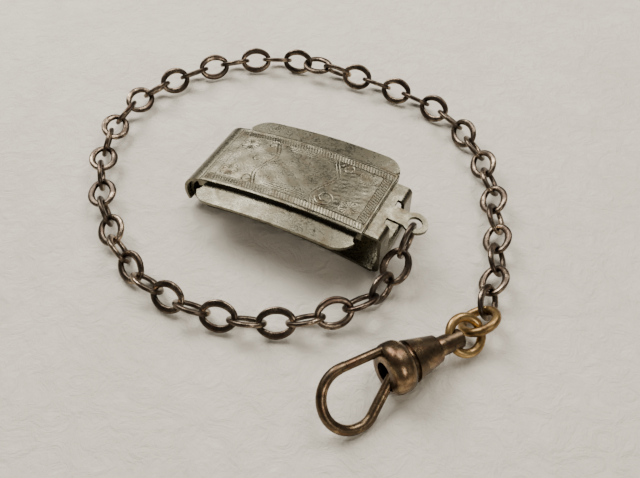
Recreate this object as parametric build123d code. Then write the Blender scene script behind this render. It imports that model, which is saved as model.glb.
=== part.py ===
from build123d import *
import math
import os

# Pocket watch chain (Albert chain): a folded sheet-metal belt clip at one end, a trace chain of oval
# wire links, two jump rings, and a swivel clasp with a sprung sliding gate at the other end.
# It lies on a table as a loop. Millimetres, +Z up, X along the belt clip from its fold to its eyelet.
# The origin is the middle of the whole laid object, on the table.

# ---- driving dimensions: links ----
LINK_COUNT = 49
LINK_LENGTH = 6.3  # outside, along the chain
LINK_WIDTH = 5.1  # outside, across the chain
LINK_WIRE = 0.86  # diameter of the wire
LINK_FLAT = 0.74  # thickness left where both faces of a link are rolled flat
LINK_PLAY = 0.08  # gap between two wires that hang in each other
LINK_END_RATIO = 0.82  # radius of the end arcs, as a share of half the width

# ---- driving dimensions: jump rings ----
RING_OUTSIDE = 6.8
RING_WIRE = 1.4
RING_PLAY = 0.24
RING_SLIT = 0.04  # between the closed ends of the wire

# ---- driving dimensions: belt clip ----
SHEET = 0.55
FOLD_X = -14.2  # the lid's hinge line, measured from the middle of the panel
FOLD_RADIUS = 3.33  # outside of the inner curl
HINGE_PLAY = 0.12
PANEL_LEFT = -14.6
PANEL_RIGHT = 15.7
PANEL_HALF_WIDTH = 7.4
PANEL_RISE = 0.8  # the panel stands this much above the wings
LID_ARC_RADIUS = 110.0  # outside, of the arch along the lid
PANEL_END_HEIGHT = 9.1  # height of the panel's top at its free end
CLIP_HEIGHT = 20.0  # more than the clip's own height, for cuts right through it
WING_HALF_WIDTH = 11.3
WING_CORNER = 3.6
WING_NOTCH = 1.1  # radius of the nick where panel and wing meet
WING_SETBACK = 0.6  # the wings are this much shorter than the panel
TONGUE_START = 11.6
TONGUE_GAP = 0.12  # between the tongue and the panel over it
WALL_X = 18.6  # outer face of the end wall
WALL_HALF_WIDTH = PANEL_HALF_WIDTH - 1.1
WALL_BEND = 1.0
BEAD_RADIUS = 1.1
LEAF_HALF_WIDTH = PANEL_HALF_WIDTH - 0.9
LEAF_ARC_RADIUS = 84.0  # underside, of the arch along the leaf
CURL_TOP = 100.0  # degrees round the hinge line, from level towards the free end
LID_ROLL_END = 212.0
WINDOW_HALF_WIDTH = 2.9
WINDOW_SILL = 1.2  # what is left of the end wall under the window
WINDOW_START = 17.4  # where the tongue is slit beside the eyelet tab
TAB_ROOT = 1.0
TAB_HALF_WIDTH = 1.5
EYELET_X = 21.7
EYELET_OUTSIDE = 4.2
EYELET_HOLE = 2.4

# ---- driving dimensions: swivel clasp, X along its axis from the collar's middle to the rings ----
CLASP_WIRE = 1.55
HOOK_BOW = 5.6  # from the axis to the wire on the hook's low side
HOOK_REACH = 12.2  # from the collar's middle to the wire at the hook's end
HOOK_TIP_X = -7.2
HOOK_BEND_X = 0.2
HOOK_LEG_X = -6.5
HOOK_RADII = (1.2, 3.0, 4.2, 4.2)  # bends from the spindle round to the tip
SPINDLE_RADIUS = 1.5
SPINDLE_FRONT = 0.4
FLANGE_RADIUS = 2.0
FLANGE_LENGTH = 0.5
SPINDLE_END = 5.2
PLUG_RADIUS = 1.1
PLUG_END = 2.3
PIN_HEAD_RADIUS = 1.0
PIN_HEAD_LENGTH = 0.85
PIN_RADIUS = 0.55
PIN_END = 8.3
NECK_START = 3.4
SWIVEL_PLAY = 0.05
SLEEVE_PLAY = 0.08
COLLAR_RADIUS = 3.9
COLLAR_LENGTH = 3.9
COLLAR_ROUND = 1.6
COLLAR_SLOT_DEPTH = 2.8  # from the axis, on the low side, where the hook's wire comes out
COLLAR_SLOT_END = 0.6
COLLAR_SLOT_PLAY = 0.15
SHOULDER_LENGTH = 0.7
GROOVE_RADIUS = 2.75
GROOVE_LENGTH = 0.4
CONE_FRONT_RADIUS = 3.2
CONE_END_RADIUS = 2.1
SHANK_END_X = 11.7
SHANK_CHAMFER = 0.3
HOLE_X = 9.85  # where the last ring's wire crosses the axis
HOLE_PLAY = 0.09
GATE_WIRE = 1.4
GATE_Y = 3.1
GATE_OVERLAP = 0.9  # stepped lap between gate bar and hook tip
GATE_ROOT = 1.4  # how deep the bar sits in the collar
GATE_TRAVEL = 1.8  # free travel of the sleeve before it reaches the last ring
TRAVEL_END_GAP = 0.25
GATE_LAP_GAP = 0.1
SPRING_WIRE = 0.26
SPRING_RADIUS = 1.8
SPRING_TURNS = 5

# The laid loop, clockwise from the eyelet, as (x, y) from the middle of the eyelet.
LOOP = [
    (-0.2, -8.2), (-0.9, -12.2), (-5.0, -18.3), (-12.4, -23.9), (-21.1, -26.8),
    (-30.1, -27.3), (-39.0, -24.9), (-46.5, -20.0), (-52.9, -14.2), (-58.1, -7.3), (-61.7, 0.4),
    (-62.7, 9.1), (-60.6, 17.6), (-56.3, 25.5), (-50.1, 31.6), (-42.3, 35.6), (-33.7, 36.6),
    (-24.4, 36.7), (-15.4, 36.0), (-6.8, 33.6), (0.3, 28.2), (6.2, 20.8), (10.3, 12.2),
    (13.6, 3.0), (14.9, -5.2), (15.0, -9.0),
]
FIRST_HEIGHT = 2.6  # of the loop's first point, where the chain comes down onto the table
LAY_MARGIN = 0.22  # keeps the links between two rolled ones off the table
HANG_HEADING = 267.0
HANG_SLOPE = 42.0  # how steeply the first link hangs from the eyelet

# How the links lie, as (link number, degrees): the angle of a link's width above level, seen along
# the chain. Odd and even links are given apart, since neighbours stand nearly square to each other.
ODD_ROLL = [(1, 90), (3, 76), (5, 45), (13, 45), (17, 10), (21, -25), (25, -50), (29, -52),
            (31, -64), (33, -126), (35, -140), (45, -132), (49, -128)]
EVEN_ROLL = [(2, 172), (4, 140), (12, 135), (16, 102), (22, 55), (26, 40), (30, 36), (32, -4),
             (34, -50), (40, -50), (44, -34), (48, -32)]

RING_A_HEADING = 262.0
RING_A_ROLL = -35.0
RING_B_ROLL = 35.0
CLASP_HEADING = 237.0  # from the rings to the hook
CLASP_ROLL = 44.0  # the gate side of the hook lies higher than its bow
HOLE_HEIGHT = 3.0  # of the axis where the last ring's wire crosses it


def unit(vector):
    return vector.normalized()


def along_roll(controls, number):
    """The roll at one link, between the two nearest given links."""
    for (n0, a0), (n1, a1) in zip(controls, controls[1:]):
        if n0 <= number <= n1:
            return a0 + (a1 - a0) * (number - n0) / (n1 - n0)
    return controls[-1][1] if number > controls[-1][0] else controls[0][1]


def link_roll(number):
    return along_roll(ODD_ROLL if number % 2 else EVEN_ROLL, number)


def lying_frame(centre, direction, roll):
    """Plane with X along the chain and Y along the piece's width, which is rolled up from level."""
    level = unit(direction.cross(Vector(0, 0, 1)))
    up = unit(level.cross(direction))
    angle = math.radians(roll)
    width = level * math.cos(angle) + up * math.sin(angle)
    return Plane(origin=centre, x_dir=direction, z_dir=direction.cross(width))


# ---- belt clip ----
# Every sheet piece is cut from strips that are arcs in side view. Arcs that follow each other touch at
# their join, so their centres are as far apart as their radii differ (or add up to, where the bend turns
# the other way).
LID_RADIUS = FOLD_RADIUS + HINGE_PLAY + SHEET  # outside of the lid's hinge roll


def meeting_point(centre_a, reach_a, centre_b, reach_b):
    """Lower of the two points (x, z) at the given distances from two centres."""
    (ax, az), (bx, bz) = centre_a, centre_b
    span = math.hypot(bx - ax, bz - az)
    along = (reach_a**2 - reach_b**2 + span**2) / (2 * span)
    off = math.sqrt(reach_a**2 - along**2)
    ux, uz = (bx - ax) / span, (bz - az) / span
    return ax + along * ux + off * uz, az + along * uz - off * ux


def heading(from_point, to_point):
    """Angle in degrees, 0 to 360, of one point (x, z) seen from another."""
    return math.degrees(math.atan2(to_point[1] - from_point[1], to_point[0] - from_point[0])) % 360


FOLD = (FOLD_X, FOLD_RADIUS)
PANEL_END = (PANEL_RIGHT, PANEL_END_HEIGHT)
LID_ARC = meeting_point(FOLD, LID_ARC_RADIUS - LID_RADIUS, PANEL_END, LID_ARC_RADIUS)
LID_JOIN = heading(LID_ARC, FOLD)
BEAD = (WALL_X - BEAD_RADIUS, BEAD_RADIUS)
LEAF_ARC = meeting_point(FOLD, LEAF_ARC_RADIUS + FOLD_RADIUS, BEAD, LEAF_ARC_RADIUS + BEAD_RADIUS)
TONGUE_RADIUS = LID_ARC_RADIUS - SHEET - TONGUE_GAP
BEND_X = WALL_X - WALL_BEND
BEND = (BEND_X, LID_ARC[1] + math.sqrt((TONGUE_RADIUS - WALL_BEND) ** 2 - (BEND_X - LID_ARC[0]) ** 2))
EYELET_Z = LID_ARC[1] + math.sqrt((TONGUE_RADIUS - SHEET / 2) ** 2 - (EYELET_X - LID_ARC[0]) ** 2)


def sheet_arc(centre, outside, start, end, half_width, thickness=SHEET):
    """Curved strip of sheet: part of a tube round a level line, between two angles in degrees."""
    profile = Pos(outside - thickness / 2, 0, 0) * Rectangle(thickness, 2 * half_width)
    ring = revolve(profile, Axis((0, 0, 0), (0, -1, 0)), end - start)
    return Pos(centre[0], 0, centre[1]) * Rot(0, -start, 0) * ring


def angle_at(x, radius):
    """Angle in degrees at which an arc about the lid's centre passes a given x, on its upper side."""
    return math.degrees(math.acos((x - LID_ARC[0]) / radius))


def wing_outline():
    """Plan of the wings: round corners, and a nick where each meets the panel's end."""
    length = PANEL_RIGHT - PANEL_LEFT
    plan = RectangleRounded(length - WING_SETBACK, 2 * WING_HALF_WIDTH, WING_CORNER)
    for side in (-1, 1):
        for end in (-1, 1):
            nick = Pos(end * length / 2, side * (PANEL_HALF_WIDTH + WING_NOTCH / 2)) * Circle(WING_NOTCH)
            plan -= nick
    return Pos((PANEL_LEFT + PANEL_RIGHT) / 2, 0) * plan


def clip_lid():
    start = angle_at(PANEL_RIGHT, LID_ARC_RADIUS)
    inside = PANEL_HALF_WIDTH - SHEET
    recess = sheet_arc(LID_ARC, LID_ARC_RADIUS, start - 3, LID_JOIN + 3, inside, 5 * SHEET)
    wings = sheet_arc(LID_ARC, LID_ARC_RADIUS - PANEL_RISE, start, LID_JOIN, WING_HALF_WIDTH)
    wings = wings & extrude(wing_outline(), CLIP_HEIGHT)
    steps = sheet_arc(LID_ARC, LID_ARC_RADIUS, start, LID_JOIN, PANEL_HALF_WIDTH, PANEL_RISE + SHEET)
    panel = sheet_arc(LID_ARC, LID_ARC_RADIUS, start, LID_JOIN, PANEL_HALF_WIDTH)
    roll = sheet_arc(FOLD, LID_RADIUS, LID_JOIN, LID_ROLL_END, PANEL_HALF_WIDTH)
    return (wings + steps) - recess + panel + roll


def clip_frame():
    """Curl, back leaf, bead, end wall and tongue, and the eyelet tab cut free of the wall."""
    curl = sheet_arc(FOLD, FOLD_RADIUS, CURL_TOP, heading(FOLD, LEAF_ARC), LEAF_HALF_WIDTH)
    leaf_start = heading(LEAF_ARC, BEAD)
    leaf_end = heading(LEAF_ARC, FOLD)
    leaf = sheet_arc(LEAF_ARC, LEAF_ARC_RADIUS + SHEET, leaf_start, leaf_end, LEAF_HALF_WIDTH)
    bead = sheet_arc(BEAD, BEAD_RADIUS, heading(BEAD, LEAF_ARC), 360, WALL_HALF_WIDTH)
    wall_height = BEND[1] - BEAD[1]
    wall = Box(SHEET, 2 * WALL_HALF_WIDTH, wall_height)
    wall = Pos(WALL_X - SHEET / 2, 0, BEAD[1] + wall_height / 2) * wall
    bend = sheet_arc(BEND, WALL_BEND, 0, heading(LID_ARC, BEND), WALL_HALF_WIDTH)
    tongue_end = angle_at(TONGUE_START, TONGUE_RADIUS)
    tongue = sheet_arc(LID_ARC, TONGUE_RADIUS, heading(LID_ARC, BEND), tongue_end, WALL_HALF_WIDTH)
    frame = curl + leaf + bead + wall + bend + tongue
    window_base = BEAD[1] + WINDOW_SILL
    window = Pos(WALL_X, 0, window_base + 5) * Box(2 * (WALL_X - WINDOW_START), 2 * WINDOW_HALF_WIDTH, 10)
    frame -= window & sheet_arc(LID_ARC, TONGUE_RADIUS + SHEET, 70, 110, LEAF_HALF_WIDTH, 10)
    return frame + eyelet_tab()


def eyelet_tab():
    strip = sheet_arc(LID_ARC, TONGUE_RADIUS, 70, 110, EYELET_OUTSIDE)
    reach = EYELET_X - WINDOW_START + TAB_ROOT
    plan = Pos(EYELET_X - reach / 2, 0) * Rectangle(reach, 2 * TAB_HALF_WIDTH)
    plan += Pos(EYELET_X, 0) * Circle(EYELET_OUTSIDE / 2)
    plan -= Pos(EYELET_X, 0) * Circle(EYELET_HOLE / 2)
    return strip & extrude(plan, CLIP_HEIGHT)


# ---- chain ----
LINK_PITCH = LINK_LENGTH - 2 * LINK_WIRE - LINK_PLAY
END_BACK = (LINK_WIRE + LINK_PLAY) / 2  # from the point where two links meet back to each end wire
END_TO_CENTRE = (LINK_LENGTH - LINK_WIRE) / 2
RING_RADIUS = (RING_OUTSIDE - RING_WIRE) / 2
# The first link hangs from the near rim of the eyelet, whose section is as wide as the ring of metal there.
RIM_WIDTH = (EYELET_OUTSIDE - EYELET_HOLE) / 2
RIM_CENTRE = Vector(EYELET_X, -(EYELET_OUTSIDE - RIM_WIDTH) / 2, EYELET_Z)
HANG_REACH = math.hypot(RIM_WIDTH, SHEET) / 2 + LINK_PLAY + LINK_WIRE / 2


def oval_link():
    """One link in its own frame: X along, Y across. Four arcs make the oval, and both faces are flat."""
    half_length = (LINK_LENGTH - LINK_WIRE) / 2
    half_width = (LINK_WIDTH - LINK_WIRE) / 2
    end_radius = LINK_END_RATIO * half_width
    shift = half_length - end_radius
    side_radius = (shift**2 + half_width**2 - end_radius**2) / (2 * (half_width - end_radius))
    drop = side_radius - half_width
    turn = math.degrees(math.atan2(drop, shift))
    right = CenterArc((shift, 0), end_radius, -turn, 2 * turn)
    top = CenterArc((0, -drop), side_radius, turn, 180 - 2 * turn)
    left = CenterArc((-shift, 0), end_radius, 180 - turn, 2 * turn)
    bottom = CenterArc((0, drop), side_radius, 180 + turn, 180 - 2 * turn)
    path = Wire([right, top, left, bottom])
    start = Plane(origin=path @ 0, z_dir=path % 0)
    round_link = sweep(start * Circle(LINK_WIRE / 2), path)
    return round_link & Box(LINK_LENGTH + 1, LINK_WIDTH + 1, LINK_FLAT)


def rest_height(number):
    """Height of a link's middle when its rolled side just reaches the table."""
    near = (number - 1, number, number + 1)
    steep = max(abs(math.sin(math.radians(link_roll(n)))) for n in near)
    return (LINK_WIDTH - LINK_WIRE) / 2 * steep + LINK_WIRE / 2 + LAY_MARGIN


def laid_path():
    """The loop as one smooth curve, scaled in plan so that it is as long as the chain."""
    away = level_heading(HANG_HEADING, HANG_SLOPE)
    start = RIM_CENTRE - away * HANG_REACH
    first_joint = start + away * (LINK_PITCH + END_BACK)
    needed = LINK_PITCH * (LINK_COUNT + 0.5)
    scale = 1.0
    for _ in range(3):
        points = [start, first_joint]
        for x, y in LOOP:
            number = round(points_length(points) / LINK_PITCH) + 1
            z = FIRST_HEIGHT if len(points) == 2 else rest_height(number)
            points.append(Vector(EYELET_X + x * scale, y * scale, z))
        path = Spline(*points)
        scale *= needed / path.length
    return path


def points_length(points):
    return sum((b - a).length for a, b in zip(points, points[1:]))


def step_along(path, start, distance):
    """The parameter at which the path is a given straight distance from where it was at start."""
    low, high = start, min(1.0, start + 4 * distance / path.length)
    origin = path @ start
    for _ in range(40):
        middle = (low + high) / 2
        if ((path @ middle) - origin).length < distance:
            low = middle
        else:
            high = middle
    return low


def chain_frames():
    """A frame for each link: centre, X towards the next link, Y across the link."""
    path = laid_path()
    here = 0.0
    joints = [path @ here]
    for number in range(LINK_COUNT):
        first = number == 0
        here = step_along(path, here, LINK_PITCH + (END_BACK if first else 0))
        joints.append(path @ here)
    joints[0] = joints[0] + unit(joints[1] - joints[0]) * END_BACK
    frames = []
    for number, (a, b) in enumerate(zip(joints, joints[1:]), 1):
        frames.append(lying_frame((a + b) / 2, unit(b - a), link_roll(number)))
    return frames


def level_heading(degrees, fall=0.0):
    """Direction at a compass angle from +X, sloping down by an angle."""
    turn = math.radians(degrees)
    slope = math.radians(fall)
    flat = math.cos(slope)
    return Vector(math.cos(turn) * flat, math.sin(turn) * flat, -math.sin(slope))


CLASP_FALL = math.degrees(math.asin((COLLAR_RADIUS - HOLE_HEIGHT) / HOLE_X))


def ring_frames(last_link):
    """Frames of the two jump rings after the last link; the second lies along the clasp's axis."""
    hang = last_link.origin + last_link.x_dir * END_TO_CENTRE
    span_a = 2 * RING_RADIUS - (LINK_WIRE + RING_WIRE) / 2 - RING_PLAY
    span_b = 2 * RING_RADIUS - RING_WIRE - RING_PLAY
    to_clasp = level_heading(CLASP_HEADING, -CLASP_FALL)
    rise = HOLE_HEIGHT - to_clasp.Z * span_b - hang.Z
    to_b = level_heading(RING_A_HEADING, -math.degrees(math.asin(rise / span_a)))
    centre_a = hang + to_b * (span_a - RING_RADIUS)
    centre_b = hang + to_b * span_a + to_clasp * (span_b - RING_RADIUS)
    return lying_frame(centre_a, to_b, RING_A_ROLL), lying_frame(centre_b, to_clasp, RING_B_ROLL)


def jump_ring():
    """A ring of round wire, slit where its two ends are closed against each other."""
    slit = Pos(0, RING_RADIUS, 0) * Box(RING_SLIT, 2 * RING_WIRE, 2 * RING_WIRE)
    return Torus(RING_RADIUS, RING_WIRE / 2) - slit


# ---- swivel clasp, in its own frame: X along its axis to the rings, Y to the gate side ----
SLEEVE_BORE = SPINDLE_RADIUS + SLEEVE_PLAY
COLLAR_FRONT = -COLLAR_LENGTH / 2
CHAMBER_START = COLLAR_SLOT_END + SHOULDER_LENGTH
CHAMBER_END = SPINDLE_END + 2 * SWIVEL_PLAY
CHAMBER_RADIUS = FLANGE_RADIUS + SLEEVE_PLAY
CONE_END_X = HOLE_X - RING_WIRE / 2 - GATE_TRAVEL - TRAVEL_END_GAP
SHANK_START = SPINDLE_END + SWIVEL_PLAY
HOLE_SAG = RING_RADIUS - math.sqrt(RING_RADIUS**2 - SPINDLE_RADIUS**2)  # the ring's bow across the shank
HOLE_RADIUS = (RING_WIRE + HOLE_SAG) / 2 + HOLE_PLAY


def clasp_frame(last_ring):
    """Frame of the clasp: the last ring's wire crosses its axis at the cross hole."""
    crossing = last_ring.origin + last_ring.x_dir * RING_RADIUS
    lying = lying_frame(crossing + last_ring.x_dir * HOLE_X, last_ring.x_dir, CLASP_ROLL)
    return Plane(origin=lying.origin, x_dir=lying.x_dir * -1, z_dir=lying.z_dir * -1)


def rod(radius, start, end):
    """Round bar along the clasp's axis."""
    return Pos((start + end) / 2, 0, 0) * Rot(0, 90, 0) * Cylinder(radius, end - start)


def lap(start, end, side):
    """Block that halves a gate wire between two places; side is +1 for its outer half."""
    return Pos((start + end) / 2, GATE_Y + side * GATE_WIRE, 0) * Box(
        end - start, 2 * GATE_WIRE + GATE_LAP_GAP, 3 * GATE_WIRE)


def clasp_hook():
    path = FilletPolyline(
        (SPINDLE_FRONT + 0.8, 0),
        (HOOK_BEND_X, 0),
        (HOOK_LEG_X, -HOOK_BOW),
        (-HOOK_REACH, -HOOK_BOW),
        (-HOOK_REACH, GATE_Y),
        (HOOK_TIP_X, GATE_Y),
        radius=HOOK_RADII,
    )
    start = Plane(origin=path @ 0, z_dir=path % 0)
    hook = sweep(start * Circle(CLASP_WIRE / 2), path)
    return hook - lap(HOOK_TIP_X - GATE_OVERLAP, HOOK_TIP_X + 1, -1) + rod(PLUG_RADIUS, SPINDLE_FRONT, PLUG_END)


def clasp_spindle():
    body = rod(SPINDLE_RADIUS, SPINDLE_FRONT, SPINDLE_END)
    body += rod(FLANGE_RADIUS, SPINDLE_END - FLANGE_LENGTH, SPINDLE_END)
    body -= rod(PLUG_RADIUS, SPINDLE_FRONT, NECK_START)
    return body - rod(PIN_RADIUS + SWIVEL_PLAY, NECK_START, SPINDLE_END)


def swivel_pin():
    head_end = NECK_START - SWIVEL_PLAY
    return rod(PIN_HEAD_RADIUS, head_end - PIN_HEAD_LENGTH, head_end) + rod(PIN_RADIUS, head_end, PIN_END)


def swivel_shank(frame, last_ring):
    """Stud with a cross hole that lies along the last ring's wire; given in the clasp's frame."""
    body = rod(SPINDLE_RADIUS, SHANK_START, SHANK_END_X)
    body = chamfer(body.faces().sort_by(Axis.X)[-1].edges(), SHANK_CHAMFER)
    body -= rod(PIN_RADIUS, SHANK_START, PIN_END)
    wire = frame.to_local_coords(last_ring.origin + last_ring.y_dir) - frame.to_local_coords(last_ring.origin)
    hole = Plane(origin=(HOLE_X + HOLE_SAG / 2, 0, 0), z_dir=wire) * Cylinder(HOLE_RADIUS, 6 * SPINDLE_RADIUS)
    return body - hole


def clasp_sleeve():
    """Collar, dark groove and tapering barrel in one turned piece that slides on the spindle."""
    collar = rod(COLLAR_RADIUS, COLLAR_FRONT, -COLLAR_FRONT)
    collar = fillet(collar.edges(), COLLAR_ROUND)
    groove_end = -COLLAR_FRONT + GROOVE_LENGTH
    groove = rod(GROOVE_RADIUS, 0, groove_end)
    cone_length = CONE_END_X - groove_end
    cone = Cone(CONE_FRONT_RADIUS, CONE_END_RADIUS, cone_length)
    cone = Pos(groove_end + cone_length / 2, 0, 0) * Rot(0, 90, 0) * cone
    sleeve = collar + groove + cone
    sleeve -= collar_slot()
    sleeve -= rod(CHAMBER_RADIUS, CHAMBER_START, CHAMBER_END)
    return sleeve - rod(SLEEVE_BORE, COLLAR_FRONT, CONE_END_X) - gate_wire()


def collar_slot():
    """Opening in the collar's face for the hook's wire, which bends to the low side."""
    length = COLLAR_SLOT_END - COLLAR_FRONT
    middle = (COLLAR_SLOT_END + COLLAR_FRONT) / 2
    return Pos(middle, -COLLAR_SLOT_DEPTH / 2, 0) * Box(
        length, COLLAR_SLOT_DEPTH, CLASP_WIRE + 2 * COLLAR_SLOT_PLAY)


def gate_wire():
    start = HOOK_TIP_X - GATE_OVERLAP + GATE_LAP_GAP
    return Pos(0, GATE_Y, 0) * rod(GATE_WIRE / 2, start, COLLAR_FRONT + GATE_ROOT)


def clasp_gate():
    """Straight bar that closes the hook; its end laps the hook's tip."""
    return gate_wire() - lap(HOOK_TIP_X - 2 * GATE_OVERLAP, HOOK_TIP_X + GATE_LAP_GAP, 1)


def clasp_spring():
    """Compression spring between the sleeve's shoulder and the spindle's flange."""
    start = CHAMBER_START + SPRING_WIRE / 2 + SWIVEL_PLAY
    length = SPINDLE_END - FLANGE_LENGTH - SPRING_WIRE / 2 - SWIVEL_PLAY - start
    coil = Helix(length / SPRING_TURNS, length, SPRING_RADIUS)
    end = Plane(origin=coil @ 0, z_dir=coil % 0)
    return Pos(start, 0, 0) * Rot(0, 90, 0) * sweep(end * Circle(SPRING_WIRE / 2), coil)


# ---- the whole object, laid on the table ----
def laid_nodes():
    """Every node as a solid in the clip's frame, by name."""
    links = chain_frames()
    rings = ring_frames(links[-1])
    clasp = clasp_frame(rings[-1])
    link = oval_link()
    ring = jump_ring()
    nodes = {"clip_frame": clip_frame(), "clip_lid": clip_lid()}
    for number, frame in enumerate(links, 1):
        nodes[f"link_{number:02d}"] = frame * link
    nodes["jump_ring_a"] = rings[0] * ring
    nodes["jump_ring_b"] = rings[1] * ring
    nodes["swivel_shank"] = clasp * swivel_shank(clasp, rings[-1])
    nodes["swivel_pin"] = clasp * swivel_pin()
    nodes["clasp_spindle"] = clasp * clasp_spindle()
    nodes["clasp_hook"] = clasp * clasp_hook()
    nodes["clasp_sleeve"] = clasp * clasp_sleeve()
    nodes["clasp_gate"] = clasp * clasp_gate()
    nodes["clasp_spring"] = clasp * clasp_spring()
    return nodes


def table_origin(nodes):
    """Middle of the laid object's box, on its lowest level."""
    boxes = [solid.bounding_box() for solid in nodes.values()]
    low_x = min(box.min.X for box in boxes)
    high_x = max(box.max.X for box in boxes)
    low_y = min(box.min.Y for box in boxes)
    high_y = max(box.max.Y for box in boxes)
    return Vector((low_x + high_x) / 2, (low_y + high_y) / 2, min(box.min.Z for box in boxes))


def main():
    os.makedirs("parts", exist_ok=True)
    nodes = laid_nodes()
    shift = Pos(table_origin(nodes) * -1)
    for name, solid in nodes.items():
        export_step(shift * solid, f"parts/{name}.step")


main()
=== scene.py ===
import math
import random

import bpy
import numpy as np
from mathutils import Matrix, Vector
from mathutils.bvhtree import BVHTree


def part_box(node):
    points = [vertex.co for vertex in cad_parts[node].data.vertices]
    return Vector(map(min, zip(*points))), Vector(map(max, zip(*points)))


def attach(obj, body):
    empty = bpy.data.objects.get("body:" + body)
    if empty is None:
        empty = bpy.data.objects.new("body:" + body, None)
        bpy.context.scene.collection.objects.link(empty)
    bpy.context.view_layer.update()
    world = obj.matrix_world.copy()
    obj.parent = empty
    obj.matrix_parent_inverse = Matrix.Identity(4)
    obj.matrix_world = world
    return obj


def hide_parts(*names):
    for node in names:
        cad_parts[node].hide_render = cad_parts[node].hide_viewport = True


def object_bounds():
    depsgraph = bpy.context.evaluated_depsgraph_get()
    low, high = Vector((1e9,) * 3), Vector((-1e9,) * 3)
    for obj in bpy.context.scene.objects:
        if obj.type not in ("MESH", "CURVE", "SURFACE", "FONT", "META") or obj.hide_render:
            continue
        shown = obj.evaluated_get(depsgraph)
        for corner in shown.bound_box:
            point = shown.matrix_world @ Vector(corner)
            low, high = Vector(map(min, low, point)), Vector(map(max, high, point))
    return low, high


# Looks of the pocket watch chain. Metres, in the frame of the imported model.
MM = 0.001
LINK_COUNT = 49
LINK_WIRE = 0.92 * MM  # a little more than the 0.86 mm of the plain model
LINK_FLAT = 0.8 * MM
LINK_END_RATIO = 0.82
LINK_SIDE_SPREAD = 0.3  # how much wider the flattened wire is along the sides than round the ends
RING_WIRE = 1.4 * MM
LINK_STEPS = 88  # round a link
RING_STEPS = 160  # round a jump ring
LINK_UNEVENNESS = 0.014 * MM
RING_UNEVENNESS = 0.008 * MM
PANEL_LENGTH = 30.3 * MM
PANEL_HALF_WIDTH = 7.4 * MM
ENGRAVING_STEPS = (900, 440)  # along and across the panel
ENGRAVING_RISE = 0.13  # mm, of the engraved skin over the plain panel
ENGRAVING_DEPTH = 0.07  # mm
CUT_DIRT_SHARE = 0.55  # how much the dirt covers the metal in the deepest cuts
VIEW_AZIMUTH = 27.7
VIEW_ELEVATION = 49.3
VIEW_DISTANCE = 119.4 * MM
VIEW_OFFSET = Vector((8.5, -5.9, 0.0)) * MM  # aim point on the table, from the middle of the object
LENS = 39.4

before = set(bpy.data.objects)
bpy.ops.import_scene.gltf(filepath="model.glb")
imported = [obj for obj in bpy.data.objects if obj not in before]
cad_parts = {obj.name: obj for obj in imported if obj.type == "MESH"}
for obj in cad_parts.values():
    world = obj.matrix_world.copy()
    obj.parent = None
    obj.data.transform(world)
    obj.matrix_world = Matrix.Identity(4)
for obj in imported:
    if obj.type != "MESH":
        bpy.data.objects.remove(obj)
cad_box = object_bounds()
scene = bpy.context.scene
random.seed(7)


# ---- node helpers ----
class Nodes:
    """A material under construction: adds nodes and links them by socket name."""

    def __init__(self, name):
        self.material = bpy.data.materials.new(name)
        self.material.use_nodes = True
        self.tree = self.material.node_tree
        self.shader = self.tree.nodes["Principled BSDF"]
        self.place = self.add("ShaderNodeTexCoord").outputs["Object"]

    def add(self, kind, **inputs):
        node = self.tree.nodes.new(kind)
        for name, value in inputs.items():
            socket = node.inputs[name.replace("_", " ")]
            if isinstance(value, bpy.types.NodeSocket):
                self.tree.links.new(value, socket)
            else:
                socket.default_value = value
        return node

    def noise(self, scale, detail=5.0, roughness=0.55, distortion=0.0):
        node = self.add("ShaderNodeTexNoise", Vector=self.place, Scale=scale, Detail=detail,
                        Roughness=roughness, Distortion=distortion)
        return node.outputs["Fac"]

    def ramp(self, factor, *stops):
        node = self.add("ShaderNodeValToRGB", Fac=factor)
        elements = node.color_ramp.elements
        while len(elements) < len(stops):
            elements.new(0.5)
        for element, (position, colour) in zip(elements, stops):
            element.position = position
            element.color = (*colour, 1.0)
        return node.outputs["Color"]

    def mix(self, factor, a, b, blend="MIX"):
        node = self.tree.nodes.new("ShaderNodeMix")
        node.data_type = "RGBA"
        node.blend_type = blend
        for socket, value in ((node.inputs[0], factor), (node.inputs[6], a), (node.inputs[7], b)):
            if isinstance(value, bpy.types.NodeSocket):
                self.tree.links.new(value, socket)
            elif isinstance(value, tuple):
                socket.default_value = (*value, 1.0)
            else:
                socket.default_value = value
        return node.outputs[2]

    def math(self, operation, a, b):
        node = self.tree.nodes.new("ShaderNodeMath")
        node.operation = operation
        for socket, value in zip(node.inputs, (a, b)):
            if isinstance(value, bpy.types.NodeSocket):
                self.tree.links.new(value, socket)
            else:
                socket.default_value = value
        return node.outputs[0]

    def span(self, value, low, high, out_low, out_high):
        node = self.add("ShaderNodeMapRange", Value=value)
        limits = {"From Min": low, "From Max": high, "To Min": out_low, "To Max": out_high}
        for name, number in limits.items():
            node.inputs[name].default_value = number
        return node.outputs[0]

    def finish(self, colour, roughness, height, distance, metallic=1.0, strength=0.5):
        self.shader.inputs["Metallic"].default_value = metallic
        links = self.tree.links
        links.new(colour, self.shader.inputs["Base Color"])
        links.new(roughness, self.shader.inputs["Roughness"])
        bump = self.add("ShaderNodeBump", Height=height, Distance=distance, Strength=strength)
        links.new(bump.outputs["Normal"], self.shader.inputs["Normal"])
        return self.material


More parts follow.
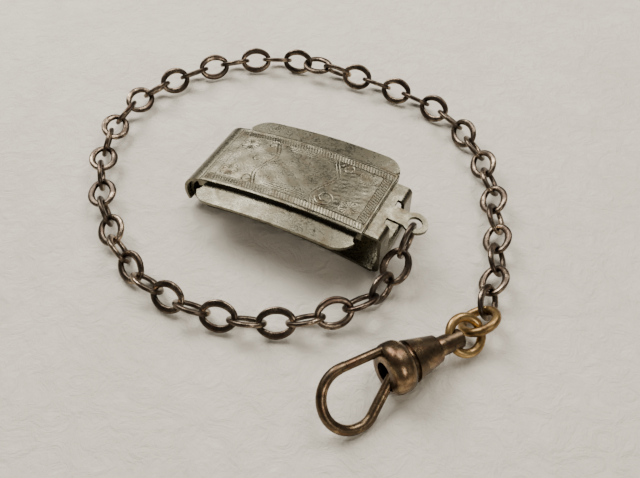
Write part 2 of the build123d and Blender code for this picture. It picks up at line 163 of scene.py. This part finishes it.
def aged_metal(name, dark, base, bright, stain, scratch=0.35, shine=0.28):
    """Old metal: base colour with dark patina in patches, bright rubbed places, stains and fine scratches."""
    n = Nodes(name)
    patches = n.noise(420.0, 6.0, 0.6, 0.4)
    fine = n.noise(2600.0, 4.0, 0.6)
    streak_place = n.add("ShaderNodeMapping", Vector=n.place)
    streak_place.inputs["Scale"].default_value = (1.0, 7.0, 3.0)
    streaks = n.add("ShaderNodeTexNoise", Vector=streak_place.outputs[0], Scale=1500.0, Detail=6.0)
    colour = n.ramp(patches, (0.32, dark), (0.52, base), (0.72, bright))
    stains = n.ramp(n.noise(230.0, 5.0, 0.6, 1.2), (0.5, (0, 0, 0)), (0.68, (1, 1, 1)))
    colour = n.mix(n.math("MULTIPLY", stains, 0.6), colour, stain)
    colour = n.mix(n.math("MULTIPLY", n.span(fine, 0.5, 0.75, 0.0, 1.0), 0.4), colour, dark)
    patch_rough = n.span(patches, 0.3, 0.75, shine + 0.22, shine)
    rough = n.math("ADD", patch_rough, n.span(fine, 0.3, 0.7, -0.05, 0.12))
    height = n.math("ADD", n.math("MULTIPLY", streaks.outputs["Fac"], scratch), fine)
    return n.finish(colour, rough, height, 0.00003)


CLIP_METAL = aged_metal("clip_nickel_silver", (0.095, 0.084, 0.056), (0.14, 0.13, 0.095), (0.2, 0.188, 0.14),
                        (0.08, 0.056, 0.03), 0.4, 0.13)
CHAIN_METAL = aged_metal("chain_patina", (0.03, 0.024, 0.019), (0.095, 0.072, 0.053), (0.46, 0.35, 0.25),
                         (0.075, 0.043, 0.03), 0.6, 0.15)
RING_METAL = aged_metal("ring_brass", (0.10, 0.062, 0.028), (0.33, 0.21, 0.085), (0.62, 0.43, 0.19),
                        (0.14, 0.075, 0.03), 0.3, 0.2)
CLASP_METAL = aged_metal("clasp_bronze", (0.035, 0.026, 0.018), (0.12, 0.082, 0.048), (0.36, 0.25, 0.14),
                         (0.12, 0.045, 0.025), 0.4, 0.16)
SPRING_METAL = aged_metal("spring_steel", (0.10, 0.10, 0.10), (0.28, 0.28, 0.28), (0.5, 0.5, 0.5),
                          (0.12, 0.08, 0.05))


# ---- mesh helpers ----
def mesh_object(name, points, faces, material):
    mesh = bpy.data.meshes.new(name)
    mesh.from_pydata([tuple(p) for p in points], [], faces)
    mesh.shade_smooth()
    mesh.materials.append(material)
    piece = bpy.data.objects.new(name, mesh)
    scene.collection.objects.link(piece)
    return piece


def node_frame(node):
    """Middle of a link or ring and its axes: along, across and out of its plane, with its half sizes."""
    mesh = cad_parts[node].data
    flat = np.empty(len(mesh.vertices) * 3)
    mesh.vertices.foreach_get("co", flat)
    points = flat.reshape(-1, 3)
    _, _, axes = np.linalg.svd(points - points.mean(axis=0), full_matrices=False)
    if np.linalg.det(axes) < 0:
        axes[2] = -axes[2]
    local = points @ axes.T
    low, high = local.min(axis=0), local.max(axis=0)
    return ((low + high) / 2) @ axes, axes, (high - low) / 2


def oval_line(half_length, half_width, count):
    """Points of the link's middle line: an oval of four arcs, as (along, across) and unit outward normals."""
    end_radius = LINK_END_RATIO * half_width
    shift = half_length - end_radius
    side_radius = (shift**2 + half_width**2 - end_radius**2) / (2 * (half_width - end_radius))
    drop = side_radius - half_width
    turn = math.atan2(drop, shift)
    line = []
    for step in range(count):
        angle = 2 * math.pi * step / count
        normal = Vector((math.cos(angle), math.sin(angle)))
        if abs(normal.y) < math.sin(turn):
            centre, radius = Vector((math.copysign(shift, normal.x), 0)), end_radius
        else:
            centre, radius = Vector((0, -math.copysign(drop, normal.y))), side_radius
        line.append((centre + normal * radius, normal))
    return line


def wire_section(half_width, half_thickness, count, power):
    """Rounded section of flattened wire, as (outward, out of plane)."""
    section = []
    for step in range(count):
        angle = 2 * math.pi * step / count
        c, s = math.cos(angle), math.sin(angle)
        section.append((math.copysign(abs(c) ** (2 / power), c) * half_width,
                        math.copysign(abs(s) ** (2 / power), s) * half_thickness))
    return section


def closed_wire(name, node, line, section, material, unevenness, gap=0, spread=0.0):
    """Wire bent along a closed line in a CAD node's plane; gap leaves that many steps open."""
    centre, axes, _ = node_frame(node)
    half_width = max(out for out, _ in section)
    waves = [(random.uniform(-1, 1), random.uniform(0, 6.3)) for _ in range(5)]
    points = []
    for step, (place, normal) in enumerate(line):
        turn = 2 * math.pi * step / len(line)
        swell = sum(a * math.sin((k + 2) * turn + p) for k, (a, p) in enumerate(waves)) * unevenness
        wider = spread * normal.y**2
        for index, (out, up) in enumerate(section):
            out += wider * (out - half_width)
            dent = unevenness * math.sin(3 * turn + 2.1 * index + waves[0][1]) * 0.6
            flat = place + normal * (out + swell * 0.5 + dent * 0.4)
            local = (flat.x, flat.y, up * (1 + (swell + dent) * 400))
            points.append(centre + np.array(local) @ axes)
    steps, around = len(line), len(section)
    faces = []
    for i in range(steps - gap):
        for j in range(around):
            a, b = i * around + j, i * around + (j + 1) % around
            faces.append((a, (a + around) % len(points), (b + around) % len(points), b))
    if gap:
        faces.append(tuple(range(around)))
        faces.append(tuple((steps - gap) * around + j for j in reversed(range(around))))
    piece = mesh_object(name, points, faces, material)
    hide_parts(node)
    return piece


def make_links():
    section = wire_section(LINK_WIRE / 2, LINK_FLAT / 2, 20, 2.5)
    for number in range(1, LINK_COUNT + 1):
        node = f"link_{number:02d}"
        _, _, half = node_frame(node)
        line = oval_line(half[0] - LINK_WIRE / 2, half[1] - LINK_WIRE / 2, LINK_STEPS)
        link = closed_wire(f"wire_{node}", node, line, section, CHAIN_METAL, LINK_UNEVENNESS,
                           spread=LINK_SIDE_SPREAD)
        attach(link, node)


def make_rings():
    section = wire_section(RING_WIRE / 2, RING_WIRE / 2, 28, 2.0)
    for letter in "ab":
        node = f"jump_ring_{letter}"
        _, _, half = node_frame(node)
        radius = half[0] - RING_WIRE / 2
        line = []
        for step in range(RING_STEPS):
            angle = math.pi / 2 + 2 * math.pi * step / RING_STEPS
            normal = Vector((math.cos(angle), math.sin(angle)))
            line.append((normal * radius, normal))
        ring = closed_wire(f"wire_{node}", node, line, section, RING_METAL, RING_UNEVENNESS, 1)
        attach(ring, f"ring_{letter}")


# ---- engraved panel of the clip ----
def smooth_step(value, edge, soft):
    return np.clip((edge - value) / soft + 0.5, 0.0, 1.0)


def groove(distance, half_width):
    """Depth of a cut line, 0 to 1, from the distance to its middle."""
    return np.clip(1.0 - np.abs(distance) / half_width, 0.0, 1.0)


def line_distance(u, v, points):
    """Distance to an open line through the given points."""
    best = np.full(u.shape, 1e9)
    for (ax, ay), (bx, by) in zip(points, points[1:]):
        dx, dy = bx - ax, by - ay
        t = np.clip(((u - ax) * dx + (v - ay) * dy) / (dx * dx + dy * dy), 0.0, 1.0)
        best = np.minimum(best, np.hypot(u - ax - t * dx, v - ay - t * dy))
    return best


def curl(centre, radius, start, turns, shrink=0.35, steps=26):
    """Points of a scroll that winds inwards."""
    points = []
    for step in range(steps + 1):
        share = step / steps
        angle = start + 2 * math.pi * turns * share
        reach = radius * (1 - (1 - shrink) * share)
        points.append((centre[0] + reach * math.cos(angle), centre[1] + reach * math.sin(angle)))
    return points


def panel_relief(u, v):
    """Engraving depth on the panel, u along and v across in millimetres from its middle."""
    length, width = 15.0, 7.1
    depth = np.zeros(u.shape)
    # milled border: fine ticks between two cut lines on both long edges and the free end
    edge_v = width - np.abs(v)
    edge_u = length - np.abs(u)
    for place in (0.35, 1.75):
        depth = np.maximum(depth, groove(edge_v - place, 0.11) * (edge_u > 0.3))
        depth = np.maximum(depth, groove(edge_u - place, 0.11) * (edge_v > 0.3))
    ticks_long = 0.5 + 0.5 * np.cos(2 * np.pi * (u + 0.35 * v) / 0.52)
    in_long = (edge_v > 0.5) & (edge_v < 1.6) & (edge_u > 0.4)
    ticks_end = 0.5 + 0.5 * np.cos(2 * np.pi * (v + 0.35 * u) / 0.52)
    in_end = (edge_u > 0.5) & (edge_u < 1.6) & (edge_v > 1.7)
    depth = np.maximum(depth, np.where(in_long, ticks_long * 0.75, 0.0))
    depth = np.maximum(depth, np.where(in_end & (u > 0), ticks_end * 0.75, 0.0))
    # scrolls that bound the plain shield in the middle
    left = [(-6.2 + 0.8 * math.sin(0.62 * t), 0.9 * t) for t in range(-6, 7)]
    right = [(5.4 + 1.0 * math.sin(0.6 * t + 0.6), 0.9 * t) for t in range(-6, 7)]
    for line in (left, right):
        for shift in (-0.3, 0.3):
            depth = np.maximum(depth, groove(line_distance(u - shift, v, line), 0.12))
    scrolls = [((-7.3, 4.6), 1.0, 0.3, 0.9), ((-7.4, -4.3), 1.2, 5.8, -1.1), ((7.2, 4.2), 1.2, 2.8, -1.1),
               ((6.6, -3.4), 1.7, 3.4, 1.3), ((-8.4, 0.6), 0.9, 1.6, 0.8)]
    for centre, radius, start, turns in scrolls:
        depth = np.maximum(depth, groove(line_distance(u, v, curl(centre, radius, start, turns)), 0.15))
    # three ruled lines on each long side of the shield
    for shift in (0.0, 0.42, 0.84):
        for side in (-1, 1):
            ruled = groove(np.abs(v) - (5.1 - shift), 0.1) * (np.abs(u) < 4.4 - shift) * (side * v > 0)
            depth = np.maximum(depth, ruled * 0.9)
    # leaves in the corners: fans of short veins
    for cu in (-11.4, 11.0):
        for cv in (-3.6, 3.6):
            angle = np.arctan2(v - cv, u - cu)
            reach = np.hypot(u - cu, v - cv)
            lobes = 1.15 + 0.45 * np.abs(np.cos(2.5 * angle))
            veins = (0.5 + 0.5 * np.cos(15 * angle)) * smooth_step(reach, 1.3, 0.6) * (reach > 0.25)
            depth = np.maximum(depth, groove(reach - lobes, 0.1) * 0.6)
            depth = np.maximum(depth, veins * 0.5)
    # wavy hammered ground between the right scrolls and the milled end
    ground = (0.5 + 0.5 * np.sin(6.5 * v + 1.8 * np.sin(1.9 * u))) * (0.6 + 0.4 * np.sin(3.1 * u + 2.0 * v))
    inside = (edge_v > 1.9) & (edge_u > 1.9)
    depth = np.maximum(depth, np.where(inside & (u > 7.0), ground * 0.25, 0.0))
    return depth


def make_engraving():
    """Skin of the panel with the engraving as real relief, on the lid's arched top."""
    low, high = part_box("clip_lid")
    middle_y = (low[1] + high[1]) / 2
    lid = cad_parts["clip_lid"]
    tree = BVHTree.FromObject(lid, bpy.context.evaluated_depsgraph_get())
    right = high[0] - 0.02 * MM
    middle_x = right - PANEL_LENGTH / 2
    sample_x = np.linspace(right - PANEL_LENGTH, right - 0.2 * MM, 60)
    down = Vector((0, 0, -1))
    tops = [tree.ray_cast(Vector((x, middle_y + 0.3 * MM, 0.05)), down)[0].z for x in sample_x]
    arch = np.poly1d(np.polyfit(sample_x - middle_x, tops, 4))
    count_u, count_v = ENGRAVING_STEPS
    u = np.linspace(-PANEL_LENGTH / 2, PANEL_LENGTH / 2, count_u)
    v = np.linspace(-PANEL_HALF_WIDTH, PANEL_HALF_WIDTH, count_v)
    grid_u, grid_v = np.meshgrid(u, v, indexing="ij")
    cut = panel_relief(grid_u / MM, grid_v / MM)
    border = np.minimum(PANEL_LENGTH / 2 - np.abs(grid_u), PANEL_HALF_WIDTH - np.abs(grid_v)) / MM
    rise = ENGRAVING_RISE * np.clip(border / 0.25, 0.0, 1.0) ** 0.5 - ENGRAVING_DEPTH * cut * (border > 0.15)
    dents = 0.012 * np.sin(grid_u / MM * 1.3 + 1.0) * np.cos(grid_v / MM * 1.7)
    z = arch(grid_u) + (rise + dents) * MM
    points = np.stack([grid_u + middle_x, grid_v + middle_y, z], axis=-1).reshape(-1, 3)
    index = np.arange(count_u * count_v).reshape(count_u, count_v)
    quads = np.stack([index[:-1, :-1], index[1:, :-1], index[1:, 1:], index[:-1, 1:]], axis=-1).reshape(-1, 4)
    piece = mesh_object("lid_engraving", points.tolist(), quads.tolist(), CLIP_METAL)
    depth = piece.data.attributes.new("cut_depth", "FLOAT", "POINT")
    depth.data.foreach_set("value", cut.reshape(-1).astype(np.float32))
    piece.data.materials[0] = engraved_metal()
    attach(piece, "lid")


def engraved_metal():
    """The clip's metal with old polish and dirt left dark in the cuts."""
    material = CLIP_METAL.copy()
    material.name = "clip_engraved"
    tree = material.node_tree
    shader = tree.nodes["Principled BSDF"]
    base = shader.inputs["Base Color"].links[0].from_socket
    cut = tree.nodes.new("ShaderNodeAttribute")
    cut.attribute_name = "cut_depth"
    mix = tree.nodes.new("ShaderNodeMix")
    mix.data_type = "RGBA"
    share = tree.nodes.new("ShaderNodeMath")
    share.operation = "MULTIPLY"
    share.inputs[1].default_value = CUT_DIRT_SHARE
    tree.links.new(cut.outputs["Fac"], share.inputs[0])
    tree.links.new(share.outputs[0], mix.inputs[0])
    tree.links.new(base, mix.inputs[6])
    mix.inputs[7].default_value = (0.035, 0.024, 0.014, 1.0)
    tree.links.new(mix.outputs[2], shader.inputs["Base Color"])
    return material


# ---- finish of the CAD nodes that stay ----
def dress(node, material, bevel=0.06 * MM):
    """Material and softened edges for a CAD node that is shown as it is."""
    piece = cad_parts[node]
    piece.data.materials.clear()
    piece.data.materials.append(material)
    soften = piece.modifiers.new("soft_edges", "BEVEL")
    soften.width = bevel
    soften.segments = 3
    soften.limit_method = "ANGLE"
    soften.angle_limit = math.radians(38)
    soften.harden_normals = False


def dress_cad_nodes():
    for node in ("clip_frame", "clip_lid"):
        dress(node, CLIP_METAL, 0.1 * MM)
    for node in ("swivel_shank", "swivel_pin", "clasp_spindle", "clasp_hook", "clasp_sleeve", "clasp_gate"):
        dress(node, CLASP_METAL)
    dress("clasp_spring", SPRING_METAL, 0.02 * MM)


# ---- stage ----
def table_material():
    n = Nodes("table_cream")
    soft = n.noise(55.0, 5.0, 0.55, 0.3)
    fibre = n.noise(900.0, 6.0, 0.6)
    crinkle = n.noise(240.0, 7.0, 0.65, 1.5)
    colour = n.ramp(soft, (0.25, (0.68, 0.625, 0.52)), (0.75, (0.76, 0.705, 0.6)))
    height = n.math("ADD", n.math("MULTIPLY", fibre, 0.5), n.math("MULTIPLY", crinkle, 3.0))
    return n.finish(colour, n.span(soft, 0.0, 1.0, 0.7, 0.85), height, 0.0007, 0.0, 0.5)


def make_stage():
    size = 0.7
    floor = mesh_object("table", [(-size, -size, 0), (size, -size, 0), (size, size, 0), (-size, size, 0)],
                        [(0, 1, 2, 3)], table_material())


def add_light(name, place, aim, size, power, colour):
    data = bpy.data.lights.new(name, "AREA")
    data.size = size
    data.energy = power
    data.color = colour
    light = bpy.data.objects.new(name, data)
    light.location = place
    light.rotation_euler = (aim - place).to_track_quat("-Z", "Y").to_euler()
    scene.collection.objects.link(light)


def make_lights(aim):
    add_light("window", aim + Vector((-0.36, 0.16, 0.42)), aim, 0.34, 4.6, (1.0, 0.97, 0.92))
    add_light("ceiling", aim + Vector((0.05, 0.30, 0.50)), aim, 0.30, 2.4, (1.0, 0.96, 0.90))
    add_light("side", aim + Vector((0.40, -0.22, 0.30)), aim, 0.20, 0.8, (1.0, 0.93, 0.84))
    world = bpy.data.worlds.new("room")
    world.use_nodes = True
    world.node_tree.nodes["Background"].inputs[0].default_value = (0.55, 0.52, 0.47, 1.0)
    world.node_tree.nodes["Background"].inputs[1].default_value = 0.35
    scene.world = world


def make_camera(aim):
    azimuth = math.radians(VIEW_AZIMUTH)
    elevation = math.radians(VIEW_ELEVATION)
    away = Vector((math.sin(azimuth) * math.cos(elevation), -math.cos(azimuth) * math.cos(elevation),
                   math.sin(elevation)))
    data = bpy.data.cameras.new("camera")
    data.lens = LENS
    data.sensor_width = 36.0
    data.clip_start = 0.005
    camera = bpy.data.objects.new("camera", data)
    camera.location = aim + away * VIEW_DISTANCE
    camera.rotation_euler = (-away).to_track_quat("-Z", "Y").to_euler()
    scene.collection.objects.link(camera)
    scene.camera = camera


low, high = cad_box
aim = Vector(((low[0] + high[0]) / 2, (low[1] + high[1]) / 2, 0.0)) + VIEW_OFFSET
make_camera(aim)
make_lights(aim)
make_stage()
make_links()
make_rings()
make_engraving()
dress_cad_nodes()
